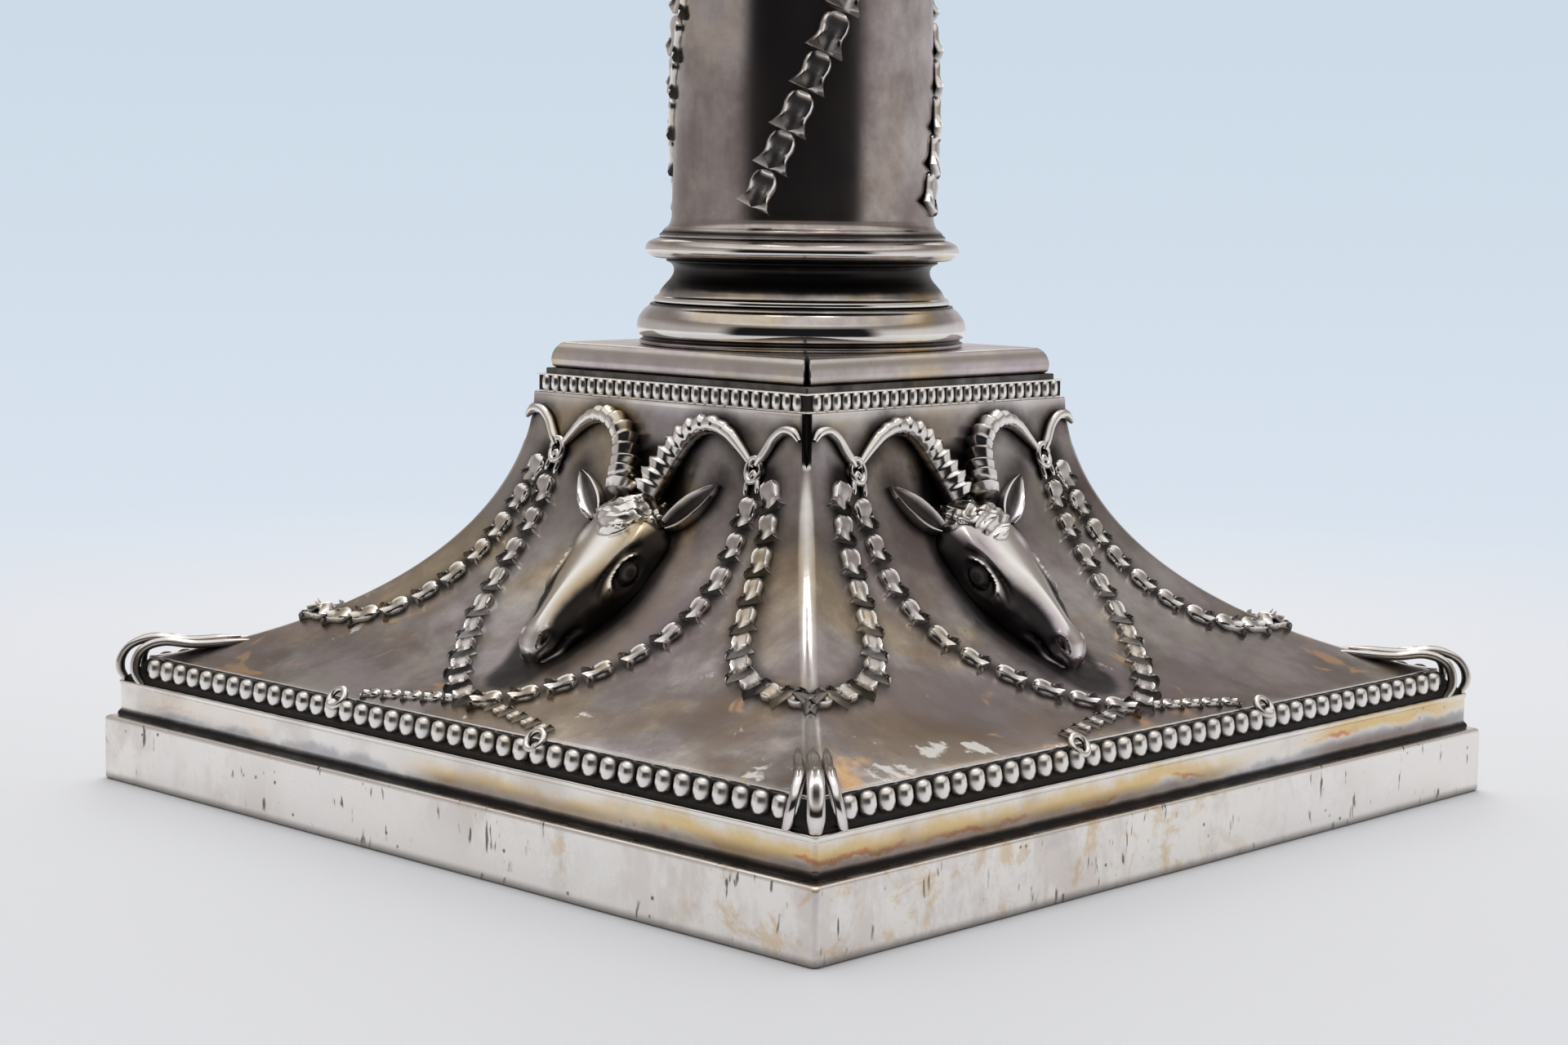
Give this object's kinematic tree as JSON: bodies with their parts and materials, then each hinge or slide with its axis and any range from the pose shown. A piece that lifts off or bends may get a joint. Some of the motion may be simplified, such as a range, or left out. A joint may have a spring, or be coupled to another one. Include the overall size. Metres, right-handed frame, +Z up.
{
  "type": "candlestick",
  "caption": "Loaded column candlestick: square swept foot with horned heads and bead borders, round column, leafy capital and lift-out square nozzle.",
  "frame": {"origin": "middle of the underside of the square foot, on the surface that it stands on", "axes": "+Z up along the column, X and Y square to the sides of the foot; the front side faces -Y"},
  "size_m": [0.128, 0.128, 0.3048],
  "materials": {
    "satin_silver": "tarnished satin sterling silver",
    "worn_silver": "bright worn and scratched sterling silver",
    "stained_silver": "sterling silver with straw and blue tarnish",
    "beaded_silver": "beaded silver wire, dark between the beads",
    "cast_silver": "cast and chased silver, polished on its high places",
    "column_silver": "rubbed tarnished sterling silver",
    "iron": "plain iron",
    "pitch": "dark pitch and plaster filling",
    "board": "plain sawn hardwood",
    "baize": "green wool baize"
  },
  "bodies": {
    "stand": {"abacus": "satin_silver", "abacus_flowers": "cast_silver", "baize_pad": "baize", "base_board": "board", "base_filling": "pitch", "base_nut": "iron", "base_washer": "iron", "border_bead_wire_back": "beaded_silver", "border_bead_wire_front": "beaded_silver", "border_bead_wire_left": "beaded_silver", "border_bead_wire_right": "beaded_silver", "border_clips": "cast_silver", "candle_socket": "satin_silver", "cap_plate": "satin_silver", "capital_bell": "satin_silver", "column_filling": "pitch", "column_lower_torus": "column_silver", "column_scotia": "column_silver", "column_shaft": "column_silver", "column_upper_ring": "column_silver", "core_rod": "iron", "corner_clasps": "cast_silver", "corner_volutes": "cast_silver", "foot_rim": "worn_silver", "lower_leaves": "cast_silver", "neck_ring": "satin_silver", "plinth": "satin_silver", "plinth_bead_wire_back": "beaded_silver", "plinth_bead_wire_front": "beaded_silver", "plinth_bead_wire_left": "beaded_silver", "plinth_bead_wire_right": "beaded_silver", "ram_head_back": "cast_silver", "ram_head_front": "cast_silver", "ram_head_left": "cast_silver", "ram_head_right": "cast_silver", "side_panel_back": "satin_silver", "side_panel_front": "satin_silver", "side_panel_left": "satin_silver", "side_panel_right": "satin_silver", "socket_nut": "iron", "step_band": "stained_silver", "upper_leaves": "cast_silver"},
    "nozzle": {"nozzle_pan": "satin_silver", "nozzle_tube": "satin_silver", "nozzle_bead_wires": "beaded_silver"}
  },
  "joints": [
    {"name": "nozzle_lift", "type": "slide", "parent": "stand", "child": "nozzle", "axis": [0, 0, 1], "range_m": [0, 0.03]}
  ]
}
